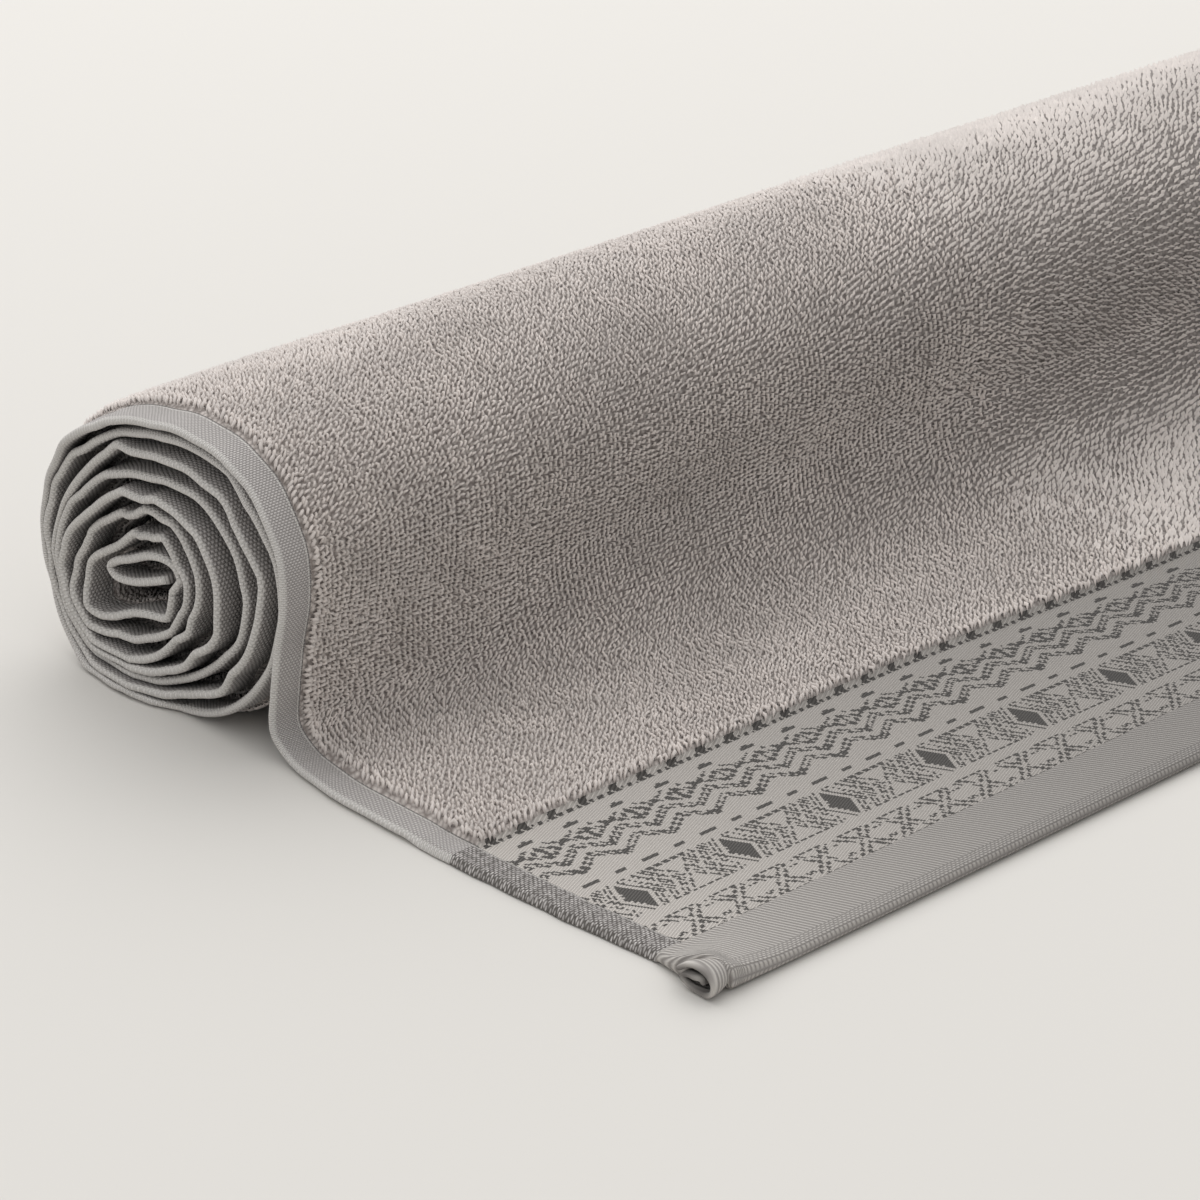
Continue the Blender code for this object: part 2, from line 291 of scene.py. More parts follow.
def squareness(wind):
    # the share of a line from the core that crosses the cloth squarely:
    # radius over the length of (radius, slope)
    slope = (windRadius(wind + 1.0) - windRadius(wind - 1.0)) / np.radians(2.0)
    return windRadius(wind) / np.hypot(windRadius(wind), slope)


def roomsAt(radius):
    # half the gap to the turn outside and to the one inside, for turns at these distances from the core
    square = squareness(winds)
    gap = np.full(len(winds), 2.0 * cloth["pileHalf"] + 2.0)
    gap[ringSize:] = (radius[:-ringSize] - radius[ringSize:]) * square[ringSize:]
    outer = np.clip(0.5 * gap - cloth["clearance"], 0.3, None)
    inner = np.full(len(winds), cloth["lastInnerHalf"])
    inner[:-ringSize] = outer[ringSize:]
    return outer, inner


def sectionAt(depth):
    # rows of (reach, height, room outwards, room inwards) of the cloth's middle, at one depth along the roll
    edge = fromEdge(depth)
    inPile = ease((edge - cloth["sideHem"]) / cloth["hemToPile"])
    half = cloth["hemHalf"] + (cloth["pileHalf"] - cloth["hemHalf"]) * inPile
    driftShare = ease((depth - cloth["driftStarts"]) / (cloth["driftEnds"] - cloth["driftStarts"]))
    drift = np.interp(looseRows, cloth["driftAt"], cloth["drift"]) * driftShare
    even = half + 0 * looseRows
    loose = np.array([cloth["endEdge"] - looseRows + drift, even, even, even])
    # foot: the tables' points joined to the flat end and to the first turn
    rows = np.array(foot)
    tight, wide = rows[:, 1:3], rows[:, 3:]
    middle = tight + (wide - tight) * ease(depth / cloth["footWidensOver"])
    upWall = np.linspace(0.0, 1.0, len(foot))
    middle[:, 1] -= (cloth["pileHalf"] - half) * (1.0 - upWall)
    radius = turnsAt(depth)
    roomOut, roomIn = roomsAt(radius)
    reach = cloth["coreReach"] + radius * np.cos(np.radians(winds))
    height = cloth["coreHeight"] + radius * np.sin(np.radians(winds))
    # on the floor the turns lie in a stack, closer near the ends, where only hems lie on each other
    inside = ease((edge - cloth["floorInside"][0]) / cloth["floorInside"][1])
    pitch = cloth["hemPitch"] + (cloth["floorPitch"] - cloth["hemPitch"]) * inside
    lowest = cloth["hemHalf"] + (cloth["pileHalf"] - cloth["hemHalf"]) * inside
    flatSpot = lowest + pitch * np.floor(winds / 360.0)
    onFloor = height < flatSpot
    roomOut = np.where(onFloor, np.minimum(roomOut, 0.5 * pitch - cloth["clearance"]), roomOut)
    roomIn = np.where(onFloor, np.minimum(roomIn, 0.5 * pitch - cloth["clearance"]), roomIn)
    height = np.maximum(height, flatSpot)
    joined = np.concatenate([
        [[loose[0, -4], loose[1, -4]], [loose[0, -1], loose[1, -1]]], middle,
        [[reach[0], height[0]], [reach[4], height[4]]],
    ])
    rise = smoothCurve(joined, footPlaces)
    rise[:, 1] = np.maximum(rise[:, 1], half)
    wallShare = ease(2.0 * np.clip((footPlaces - 2.0) / 6.0, 0.0, 1.0))
    rising = np.array([
        rise[:, 0], rise[:, 1], half + 0 * wallShare, half + (min(half, roomIn[0]) - half) * wallShare,
    ])
    outer = np.minimum(cloth["pileHalf"], roomOut)
    outer[:ringSize] = cloth["pileHalf"]
    inner = np.minimum(cloth["pileHalf"], roomIn)
    wound = np.array([reach, height, outer, inner])
    core = smoothCurve(np.array(coreFold), corePlaces).T
    return np.concatenate([loose, rising, wound, core[[0, 1, 2, 2]]], axis=1)


def edgeShifts(distance):
    # how far each row's near and far edges stand in or out
    loose = np.interp(looseRows, cloth["nearEdgeAt"], cloth["nearEdge"])
    rising = smoothCurve([loose[-1], loose[-1]] + [row.nearEdge for row in foot] + [0.0], footPlaces)
    near = smoothCurve([edge for turn in turns for edge in turn[:2]], winds / 180.0) + nearEdgeKinks
    far = smoothCurve([turn.farFront for turn in turns], winds / 360.0)
    still = np.ones(len(corePlaces))
    nearShifts = np.concatenate([loose, rising, near, near[-1] * still])
    farShifts = np.concatenate([0 * loose, 0 * rising, far, far[-1] * still])
    nearShifts = nearShifts + 0.2 * ripples(distance, 0.0, 9.0, 41)
    return nearShifts, farShifts + 0.5 * ripples(distance, 0.0, 17.0, 42)


stations = np.concatenate([stationsIn, [cloth["width"] / 2], cloth["width"] - stationsIn[::-1]])


def ripples(s, depth, size, seed):
    # a smooth uneven number from about -1 to 1: five sines of both places, of mixed lengths near size
    waves = np.random.default_rng(seed)
    total = 0.0
    for share in (1.0, 0.8, 0.6, 0.5, 0.4):
        turned = waves.uniform(0.0, math.pi)
        length = size * waves.uniform(0.6, 1.6)
        across = (s * math.cos(turned) + depth * math.sin(turned)) / length
        total = total + share * np.sin(2.0 * math.pi * across + waves.uniform(0.0, 6.28))
    return total / 1.9


def clothGrid():
    # every row and station's outer and inner ground points, their outward direction and the rows' distance
    # along the cloth. Rows run from the loose end inwards, stations from the near edge to the far one.
    outerFace, innerFace, outwards, rooms = [], [], [], []
    plain = sectionAt(60.0)[:2]
    distance = np.concatenate([[0.0], np.cumsum(np.hypot(*np.diff(plain, axis=1)))])
    near, far = edgeShifts(distance)
    firstTurn = (rowKinds < 2) | ((rowKinds == 2) & (rowWinds < 350.0))
    for depth in stations:
        edge = fromEdge(depth)
        rows = sectionAt(depth)
        middle, roomOut, roomIn = rows[:2], rows[2], rows[3]
        tangent = np.gradient(middle, axis=1)
        tangent[:, : len(looseRows)] = np.array([[-1.0], [0.0]])
        tangent /= np.hypot(*tangent)
        away = np.array([tangent[1], -tangent[0]])
        # thickness of each side: a rounded rim, the hem, a stitched groove, then the ground under the loops
        rim = np.sqrt(np.clip(1.0 - (1.0 - np.clip(edge / cloth["rimRound"], 0.0, 1.0)) ** 2, 0.06, 1.0))
        grooveAt, grooveWide, grooveDeep = cloth["groove"]
        hem = cloth["hemHalf"] * rim - grooveDeep * np.exp(-((edge - grooveAt) / grooveWide) ** 2)
        inPile = ease((edge - cloth["sideHem"]) / cloth["groundOver"])
        deep = ease((edge - cloth["deepGround"][0]) / cloth["deepGround"][1])
        ground = cloth["groundHalf"] + (cloth["pileHalf"] - cloth["groundHalf"]) * deep
        outer = hem + (np.where(firstTurn, cloth["groundHalf"], ground) - hem) * inPile
        inner = hem + (ground - hem) * inPile
        outer = np.minimum(outer, roomOut)
        inner = np.minimum(inner, roomIn)
        outerLine = middle + away * outer
        innerLine = middle - away * inner
        # the loose end lies on the floor, and only its thickness changes
        flat = rowKinds == 0
        s = looseRows
        corner = 1.0 - ease(edge / cloth["fullCorner"])
        thicker = (cloth["cornerThick"] - cloth["endHemThick"]) * corner
        endThick = cloth["endHemThick"] + thicker * (1.0 - ease((s - 9.0) / 7.0))
        puff = cloth["puff"] * np.sin(np.pi * np.clip((s - 2.0) / 15.5, 0.0, 1.0))
        endThick = endThick * (1.0 - 0.16 * ease((s - 4.0) / 12.0)) + puff
        borderTop = cloth["borderThick"] + (2 * hem - cloth["borderThick"]) * (1.0 - ease((edge - 6.6) / 0.9))
        pileTop = cloth["pileHalf"] + cloth["groundHalf"]
        pileTop = 2 * hem + (pileTop - 2 * hem) * inPile
        top = borderTop + (pileTop - borderTop) * ease((s - cloth["pileStep"][0]) / cloth["pileStep"][1])
        endShare = 1.0 - ease((s - cloth["endHemStep"][0]) / cloth["endHemStep"][1])
        top = np.where(s < cloth["endHem"], top + (endThick - top) * endShare, top)
        fold = 0.5 * np.sqrt(np.clip(1.0 - (1.0 - np.clip(s / cloth["foldRound"], 0.0, 1.0)) ** 2, 0.0, 1.0))
        side = 0.5 * rim
        rounded = np.minimum(fold, side)
        outerLine[1, flat] = top * (0.5 + rounded)
        innerLine[1, flat] = top * np.where(s < cloth["endHem"], 0.5 - rounded, 0.5 - side)
        outerLine[1] = np.maximum(outerLine[1], 0.02)
        innerLine[1] = np.maximum(innerLine[1], 0.0)
        along = depth + near * (1.0 - ease(depth / cloth["shiftFades"]))
        along = along - far * (1.0 - ease((cloth["width"] - depth) / cloth["shiftFades"]))
        along[flat] += 4.0 * (1.0 - ease(depth / 9.0)) * (1.0 - ease((looseRows - 7.0) / 3.0))
        outerFace.append(np.stack([along, -outerLine[0], outerLine[1]], axis=1))
        innerFace.append(np.stack([along, -innerLine[0], innerLine[1]], axis=1))
        outwards.append(np.stack([0 * along, -away[0], away[1]], axis=1))
        rooms.append(np.stack([roomOut - outer, roomIn - inner], axis=1))
    return distance, np.array(outerFace), np.array(innerFace), np.array(outwards), np.array(rooms)


rowDistance, outerFace, innerFace, outwards, spareRoom = clothGrid()
print("cloth length", round(float(rowDistance[-1])), "mm in", len(rowDistance), "rows")
print("cloth width in", len(stations), "stations")

# the solid's box gives the shift from depth and reach to the frame: its low corner is the furthest near edge
# and the loose end's edge
boxLow = np.array(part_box("towel")[0]) / mm
placing = np.array([boxLow[0] - min(turn.nearBack for turn in turns), boxLow[1] + cloth["endEdge"], 0.0])
outerFace += placing
innerFace += placing
print("placed by", placing.round(2))


def putMesh(name, points, faces, bakeMap, clothMap=None, values=None, normals=None):
    # points in millimetres, faces as rows of corner numbers, maps as one place for each face corner
    corners = faces.shape[1]
    mesh = bpy.data.meshes.new(name)
    mesh.vertices.add(len(points))
    mesh.vertices.foreach_set("co", (points * mm).astype(np.float32).ravel())
    mesh.loops.add(faces.size)
    mesh.loops.foreach_set("vertex_index", faces.astype(np.int32).ravel())
    mesh.polygons.add(len(faces))
    mesh.polygons.foreach_set("loop_start", np.arange(0, faces.size, corners, dtype=np.int32))
    mesh.polygons.foreach_set("use_smooth", np.ones(len(faces), bool))
    mesh.update(calc_edges=True)
    for mapName, places in (("OFBake", bakeMap), ("cloth", clothMap)):
        if places is not None:
            layer = mesh.uv_layers.new(name=mapName)
            layer.data.foreach_set("uv", places.astype(np.float32).ravel())
    for valueName, numbers in (values or {}).items():
        attribute = mesh.attributes.new(valueName, "FLOAT", "POINT")
        attribute.data.foreach_set("value", numbers.astype(np.float32).ravel())
    if normals is not None:
        mesh.normals_split_custom_set_from_vertices(normals)
    piece = bpy.data.objects.new(name, mesh)
    bpy.context.scene.collection.objects.link(piece)
    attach(piece, "root")
    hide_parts("towel")
    return piece


def gapsBeside():
    # the free gap outside and inside each row of cloth at the roll's ends, where only hems face each other
    outer, inner = roomsAt(turnsAt(0.0))
    gapOut = 2.0 * (outer + cloth["clearance"] - cloth["hemHalf"])
    gapIn = 2.0 * (inner + cloth["clearance"] - cloth["hemHalf"])
    openAir, insideLast, insideCore = 99.0, 8.0, 6.0
    gapOut[:ringSize] = openAir
    gapIn[-ringSize:] = insideLast
    start, end = np.full(np.sum(rowKinds < 2), openAir), np.full(len(corePlaces), insideCore)
    return np.concatenate([start, gapOut, end]), np.concatenate([start, gapIn, end])


def lightBetween(gap, edge):
    # how much light reaches a place between two turns: the gap over the gap and half the way in
    gap = np.maximum(gap, 0.4)
    return np.clip(gap / (gap + 0.5 * np.maximum(edge - 1.0, 0.0)), 0.1, 1.0) ** 0.9


gapOutside, gapInside = gapsBeside()


def ringSides(size, lengths):
    # the four-cornered faces between neighbouring rings of as many points, for so many lengths
    here = np.arange(size)
    there = (here + 1) % size
    base = size * np.arange(lengths)[:, None]
    faces = [base + here, base + here + size, base + there + size, base + there]
    return np.stack(faces, axis=2).reshape(-1, 4)


def makeCloth():
    # the closed sheet: at each station a ring of the outer line inwards and the inner line back
    rows = len(rowDistance)
    rings = np.concatenate([outerFace, innerFace[:, ::-1]], axis=1)
    size = 2 * rows
    sides = ringSides(size, len(stations) - 1)
    step = np.arange(rows - 1)
    near = np.stack([step, step + 1, size - 2 - step, size - 1 - step], axis=1)
    far = near[:, ::-1] + size * (len(stations) - 1)
    faces = np.concatenate([sides, near, far])
    s = np.concatenate([rowDistance, rowDistance[::-1]])
    # corners on the seam of a ring keep their own row's distance
    place = np.stack(np.broadcast_arrays(stations[:, None], s[None, :]), axis=2).reshape(-1, 2)
    clothMap = place[faces.ravel()] * mm
    outerSide = np.concatenate([np.ones(rows), np.zeros(rows)])
    outerSide = np.broadcast_to(outerSide, (len(stations), size)).ravel()
    bake = np.stack([
        (place[:, 0] / cloth["width"] * 0.48 + 0.51 * (1.0 - outerSide)) + 0.003,
        place[:, 1] / (rowDistance[-1] + 1.0) * 0.99 + 0.003,
    ], axis=1)[faces.ravel()]
    # painted shade between the turns: how much light reaches each place, kept as the lit value
    gaps = np.concatenate([gapOutside, gapInside[::-1]])
    lit = lightBetween(gaps[None, :], fromEdge(stations)[:, None])
    return putMesh("towel_cloth", rings.reshape(-1, 3), faces, bake, clothMap, {"lit": lit.ravel()})


# the loose end's hem ends in an open roll at the near corner. Its middle line runs from the cloth's top round
# to the free end inside, as distance from the cloth's edge and height
rollLine = (
    (9.2, 3.6), (7.7, 4.8), (5.6, 5.7), (3.2, 5.8), (1.2, 5.0), (0.2, 3.5), (0.4, 1.8), (1.7, 0.75),
    (3.9, 0.62), (6.3, 0.8), (7.9, 1.6), (8.0, 2.6), (6.7, 3.1), (5.0, 3.3), (3.3, 3.7), (2.6, 3.2),
)
roll = {
    "places": 76,              # along its line
    "half": 0.56,
    "ends": 10.0,
    "middle": (3.9, 2.6),
    "narrowest": 0.35,
    "outerPlaces": 48,         # of them face outwards
    "depths": (-0.9, -0.75, -0.4, 0.4, 2.0, 4.0, 6.0, 8.0, 10.0),
    "rimHalves": (0.5, 0.85, 1.0),
}


def makeCornerRoll():
    # a strip swept inwards along the roll's line, narrowing about its middle until the hem covers it
    line = smoothCurve(np.array(rollLine), np.linspace(0.0, len(rollLine) - 1, roll["places"]))
    tangent = np.gradient(line, axis=0)
    tangent /= np.hypot(*tangent.T)[:, None]
    away = np.stack([-tangent[:, 1], tangent[:, 0]], axis=1)
    turn = np.linspace(0.0, np.pi, 6)[1:-1, None]
    depths = np.array(roll["depths"])
    points = []
    for number, depth in enumerate(depths):
        half = roll["half"] * roll["rimHalves"][min(number, 2)]
        ring = np.concatenate([
            line + away * half,
            line[-1] + half * (np.cos(turn) * away[-1] + np.sin(turn) * tangent[-1]),
            (line - away * half)[::-1],
            line[0] - half * (np.cos(turn) * away[0] + np.sin(turn) * tangent[0]),
        ])
        size = 1.0 - (1.0 - roll["narrowest"]) * ease(depth / roll["ends"])
        ring = roll["middle"] + (ring - roll["middle"]) * size
        unevenness = 0.15 * np.sin(np.arange(len(ring)) * 0.23 + 1.0)
        points.append(np.stack([
            depth + unevenness, ring[:, 0] - cloth["endEdge"], np.maximum(ring[:, 1], 0.04),
        ], axis=1))
    count, last = len(ring), len(depths) - 1
    sides = ringSides(count, last)
    # each ring is the line's outer side, a round end, the inner side back, and the other round end
    places, turned = roll["places"], len(turn)
    back, end = places + turned, 2 * places + turned
    step = np.arange(places - 1)
    cap = np.stack([step, step + 1, end - 2 - step, end - 1 - step], axis=1)
    roundEnds = [
        [places - 1, places, back - 1, back], [places, places + 1, back - 2, back - 1],
        [end - 1, end, count - 1, 0], [end, end + 1, count - 2, count - 1],
    ]
    cap = np.concatenate([cap, roundEnds])
    faces = np.concatenate([sides, cap, cap[:, ::-1] + count * last])
    points = np.concatenate(points) + placing
    place = faces.ravel() % count
    number = faces.ravel() // count
    onCap = np.arange(faces.size) >= sides.size
    along = np.minimum(place, end - 1 - np.minimum(place, end - 1)) / float(places)
    bake = np.stack([
        np.where(onCap, along, place / count),
        np.where(onCap, 0.88 + 0.1 * (place > places + 1), 0.02 + 0.1 * number),
    ], axis=1)
    clothMap = np.stack([np.maximum(depths[number], 0.1), 4.0 + 9.0 * along], axis=1) * mm
    # light falls on the outside, and fades inwards
    here = np.arange(count)
    outside = (here >= end - 1 - roll["outerPlaces"]) & (here <= end - 1)
    lit = np.where(outside[None, :], 1.0, 0.6 - 0.5 * ease((depths[:, None] + 0.5) / 3.0))
    return putMesh("corner_roll", points, faces, bake, clothMap, {"lit": lit.ravel()})


# a value that varies over the cloth: its middle, slow ripples of some length, and each loop's own chance
Uneven = namedtuple("Uneven", "middle ripple length seed chance")

pile = {
    "alongCloth": 1.2,         # loops follow each other along the cloth
    "acrossCloth": 1.35,       # and stand in columns
    "jitter": 0.12,
    "height": 1.3,
    "halfWidth": 0.52,
    "yarn": 0.36,
    "beadYarn": 0.5,           # further in, a loop is one small bead
    "coarserFrom": 90.0,       # and grows coarser along the roll
    "coarserOver": 230.0,
    "coarser": 0.38,
    "edgeRow": 1.3,            # the row beside a hem stands larger
    "sunk": 0.4,
    "soft": 0.35,              # how far a loop is shaded like the cloth under it
    "beadSoft": 0.7,
    "beadFootLift": 0.6,
    "mixed": 18.0,             # neighbouring kinds of loops are mixed over twice this length
    "bounds": (62.0, 118.0, 215.0, 350.0, 485.0),
    "turned": Uneven(0.35, 0.25, 24.0, 5, 0.25),
    "leanSize": Uneven(0.4, 0.12, 38.0, 9, 0.1),
    "leanTurn": Uneven(0.6, 0.3, 60.0, 3, 0.2),
    "twist": (0.2, 0.25),      # of a loop's width, and its chance
    "besideHem": 0.75,
    "reachesRound": 246.0,     # degrees of the first turn that carry the outer pile
    "smoothFrom": 70.0,
    "smoothOver": 330.0,
    "smoothest": 0.45,
}


def onCloth(s, depth, face, sign):
    # the ground point, outward direction and spare room at places on one face,
    # each mixed from the grid's four corners round it
    row = np.interp(s, rowDistance, np.arange(len(rowDistance)))
    station = np.interp(depth, stations, np.arange(len(stations)))
    r0 = np.minimum(row.astype(int), len(rowDistance) - 2)
    k0 = np.minimum(station.astype(int), len(stations) - 2)
    rowShare, stationShare = (row - r0)[:, None], (station - k0)[:, None]

    def mixed(grid):
        near = grid[k0, r0] * (1 - rowShare) + grid[k0, r0 + 1] * rowShare
        far = grid[k0 + 1, r0] * (1 - rowShare) + grid[k0 + 1, r0 + 1] * rowShare
        return near * (1 - stationShare) + far * stationShare

    away = mixed(outwards) * sign
    away /= np.linalg.norm(away, axis=1)[:, None]
    return mixed(face), away, mixed(spareRoom)[:, 0 if sign > 0 else 1]


def unevenly(kind, s, depth):
    # middle + ripple times a slow wave over the cloth + each loop's own chance
    varies = pile[kind]
    own = rng.normal(0.0, varies.chance, len(s))
    return varies.middle + varies.ripple * ripples(s, depth, varies.length, varies.seed) + own


def yarnLoops(name, s, depth, face, sign, size, ringAngles, toneAndShade, bakeAround, outside=False):
    # each loop is a three-sided yarn over an arch: its middle at angle a is
    # base - cos(a) width along + sin(a) height outwards + sin(a) lean, closed to a point at both feet
    count = len(s)
    base, away, room = onCloth(s, depth, face, sign)
    axis = np.array([1.0, 0.0, 0.0])
    along = np.cross(away, axis)
    along /= np.linalg.norm(along, axis=1)[:, None]
    side = np.cross(along, away)
    # along the roll the pile looks smoother: lower loops, nearer to one tone, shaded more like the cloth
    smooth = pile["smoothest"] * ease((depth - pile["smoothFrom"]) / pile["smoothOver"]) * outside
    height = pile["height"] * size * (1.0 - 0.5 * smooth) * rng.uniform(0.85, 1.12, count)
    if not outside:
        height = np.minimum(height, room + 0.75)
        # painted shade between the turns: the tone darkens where little light reaches
        gap = np.interp(s, rowDistance, gapOutside if sign > 0 else gapInside)
        toneAndShade = toneAndShade * lightBetween(gap, fromEdge(depth))
    turned = unevenly("turned", s, depth)
    plane = along * np.cos(turned)[:, None] + side * np.sin(turned)[:, None]
    across = np.cross(away, plane)
    leanSize = height * unevenly("leanSize", s, depth)
    leanTurn = unevenly("leanTurn", s, depth)
    lean = (side * np.cos(leanTurn)[:, None] + along * np.sin(leanTurn)[:, None]) * leanSize[:, None]
    width = pile["halfWidth"] * size * (1.0 - 0.5 * smooth) * rng.uniform(0.88, 1.15, count)
    twist = width * rng.normal(*pile["twist"], count)
    yarn = pile["yarn"] if len(ringAngles) > 1 else pile["beadYarn"]
    radius = yarn * size * rng.uniform(0.9, 1.1, count)
    isBead = len(ringAngles) == 1
    start = pile["beadSoft"] if isBead else pile["soft"]
    soft = (start + (0.9 - start) * smooth)[:, None]
    angles = np.radians([0.0, *ringAngles, 180.0])
    points, lifts, normals = [], [], []
    for number, angle in enumerate(angles):
        c, z = math.cos(angle), math.sin(angle)
        middle = base - plane * (width * c)[:, None] + across * (twist * c)[:, None]
        middle = middle + away * (height * z - pile["sunk"] * (1.0 + 1.5 * smooth))[:, None] + lean * z
        outwardsHere = away * z - plane * c
        atFoot = number in (0, len(angles) - 1)
        for corner in (0.0,) if atFoot else (0.0, 2.0944, 4.1888):
            around = outwardsHere * math.cos(corner) + across * math.sin(corner)
            normal = around * (1.0 - soft) + away * soft
            points.append(middle + (0.0 if atFoot else 1.0) * around * radius[:, None])
            normals.append(normal / np.linalg.norm(normal, axis=1)[:, None])
            # lift sets each point's painted shade: darker towards the feet, nearer to one shade along the
            # roll
            lift = z + (0.0 if atFoot else 0.12 * math.cos(corner))
            if isBead and atFoot:
                lift = pile["beadFootLift"]
            lifts.append(lift + (0.55 - lift) * 0.85 * smooth)
    points, normals, lifts = (np.stack(parts, axis=1) for parts in (points, normals, lifts))
    points[:, :, 2] = np.maximum(points[:, :, 2], 0.0)
    each = points.shape[1]
    rings = len(ringAngles)
    template = []
    for k in range(3):
        n = (k + 1) % 3
        template.append((0, 1 + k, 1 + n))
        template.append((each - 1, each - 4 + n, each - 4 + k))
        for ring in range(rings - 1):
            a = 1 + 3 * ring
            template.append((a + k, a + 3 + n, a + n))
            template.append((a + k, a + 3 + k, a + 3 + n))
    faces = (np.array(template)[None] + each * np.arange(count)[:, None, None]).reshape(-1, 3)
    # every loop has a small square of the map around its own place on the cloth
    u = np.concatenate([[0.5], np.tile([0.1, 0.5, 0.9], rings), [0.5]])
    v = np.concatenate([[0.0], np.repeat(np.linspace(0.0, 1.0, rings + 2)[1:-1], 3), [1.0]])
    u0, v0, uSize, vSize = bakeAround
    du = (u[None] * size[:, None] * 1.5 + depth[:, None] - u0) / uSize
    dv = (v[None] * size[:, None] * 1.2 + s[:, None] - v0) / vSize
    bake = np.stack([np.clip(du, 0.0, 1.0), np.clip(dv, 0.0, 1.0)], axis=2).reshape(-1, 2)[faces.ravel()]
    tonesAndShade = np.repeat((toneAndShade + rng.normal(0.0, 0.05, count) * (1.0 - 0.8 * smooth))[:, None], each, axis=1)
    values = {"lift": lifts, "toneAndShade": tonesAndShade * (1.0 + 0.12 * smooth[:, None])}
    return putMesh(name, points.reshape(-1, 3), faces, bake, None, values, normals.reshape(-1, 3))


def pilePlaces(startDepth, endDepth, startS, endS, coarser):
    # jittered columns: depths step by the column spacing, which grows with depth, and s by the row spacing
    columns, depth = [], startDepth
    while depth < endDepth:
        scale = 1.0 + coarser * ease((depth - pile["coarserFrom"]) / pile["coarserOver"])
        columns.append((depth, float(scale)))
        depth += pile["acrossCloth"] * float(scale)
    places = []
    for depth, scale in columns:
        step = pile["alongCloth"] * scale
        s = np.arange(startS + rng.uniform(0.0, 0.4) * step, endS, step)
        places.append(np.stack([s, np.full(len(s), depth), np.full(len(s), scale)], axis=1))
    s, depth, size = np.concatenate(places).T
    s = s + size * (rng.normal(0.0, pile["jitter"], len(s)) + 0.35 * ripples(s, depth, 30.0, 14))
    depth = depth + size * (rng.normal(0.0, pile["jitter"] * 1.2, len(s)) + 0.4 * ripples(s, depth, 26.0, 15))
    return s, depth, size


def outerPileEnd():
    # the distance along the cloth where the first turn reaches the floor behind the roll
    return float(np.interp(pile["reachesRound"], winds, rowDistance[rowKinds == 2]))


def makePile():
    # the loops of the outer turn, from the border to where it meets the floor, in kinds that grow simpler
    pieces = []
    firstS, lastS = cloth["loopsStart"], outerPileEnd()
    near = cloth["sideHem"] + pile["besideHem"]
    far = cloth["width"] - near
    s, depth, size = pilePlaces(near, far, firstS, lastS, pile["coarser"])
    edge = np.minimum(fromEdge(depth) - near, s - firstS)
    size = size * (1.0 + (pile["edgeRow"] - 1.0) * (1.0 - ease(edge / 3.5)))
    keep = (fromEdge(depth) > near - 0.4) & (s > firstS - 0.3)
    s, depth, size = s[keep], depth[keep], size[keep]
    toneAndShade = 1.0 + 0.05 * ripples(s, depth, 55.0, 31) + 0.04 * ripples(s, depth, 14.0, 32)
    mixed = pile["mixed"]
    shownDepth = depth + rng.uniform(-mixed, mixed, len(depth))
    bounds = (-mixed,) + pile["bounds"] + (cloth["width"] + mixed,)
    for number in range(len(bounds) - 1):
        start, end = bounds[number], bounds[number + 1]
        mine = (shownDepth >= start) & (shownDepth < end)
        angles = ((42.0, 90.0, 138.0), (55.0, 125.0), (55.0, 125.0), (90.0,), (90.0,), (90.0,))[number]
        around = (start - mixed, firstS, end - start + 2.0 * mixed + 3.0, lastS - firstS + 3.0)
        name = "pile_loops_" + "abcdef"[number]
        pieces.append(yarnLoops(
            name, s[mine], depth[mine], outerFace, 1.0, size[mine], angles, toneAndShade[mine], around, outside=True,
        ))
        print(name, len(pieces[-1].data.polygons), "triangles")
    return pieces


def makeEndPile():
    # the rows of loops that show between the turns, at both ends of the roll and on both faces
    pieces = []
    total = float(rowDistance[-1]) - 4.0
    start = cloth["sideHem"] + 0.9
    for name, deepest, mirrored in (("near", 15.5, False), ("far", 11.0, True)):
        for faceName, face, sign in (("outer", outerFace, 1.0), ("inner", innerFace, -1.0)):
            firstS = outerPileEnd() if faceName == "outer" else 96.0
            s, depth, size = pilePlaces(start, deepest, firstS, total, 0.0)
            size = size * 1.12
            if mirrored:
                depth = cloth["width"] - depth
            # they darken inwards, where little light comes
            toneAndShade = 0.95 - 0.3 * ease((fromEdge(depth) - start) / 6.0) + 0.05 * ripples(s, depth, 20.0, 8)
            around = (min(depth) - 1.0, 0.0, 12.0, total + 4.0)
            angles = (90.0,) if mirrored else (55.0, 125.0)
            pieceName = f"{name}_{faceName}_loops"
            pieces.append(yarnLoops(pieceName, s, depth, face, sign, size, angles, toneAndShade, around))
            print(pieceName, len(pieces[-1].data.polygons), "triangles")
    return pieces


clothPiece = makeCloth()
print("cloth", 2 * len(clothPiece.data.polygons), "triangles")
cornerPiece = makeCornerRoll()
loopPieces = makePile() + makeEndPile()


class Value:
    # one socket of a material's nodes, with the usual signs for Math nodes
    def __init__(self, maker, socket):
        self.maker, self.socket = maker, socket

    def math(self, operation, *others):
        return self.maker.node("Math", {"operation": operation}, dict(enumerate((self,) + others)))

    def __add__(self, other): return self.math("ADD", other)
    def __radd__(self, other): return self.math("ADD", other)
    def __sub__(self, other): return self.math("SUBTRACT", other)
    def __rsub__(self, other): return self.maker.node("Math", {"operation": "SUBTRACT"}, {0: other, 1: self})
    def __mul__(self, other): return self.math("MULTIPLY", other)
    def __rmul__(self, other): return self.math("MULTIPLY", other)
    def __truediv__(self, other): return self.math("DIVIDE", other)
    def __abs__(self): return self.math("ABSOLUTE")
    def __lt__(self, other): return self.math("LESS_THAN", other)
    def __gt__(self, other): return self.math("GREATER_THAN", other)

    def floor(self): return self.math("FLOOR")
    def fract(self): return self.math("FRACT")
    def sin(self): return self.math("SINE")
    def least(self, other): return self.math("MINIMUM", other)
    def most(self, other): return self.math("MAXIMUM", other)


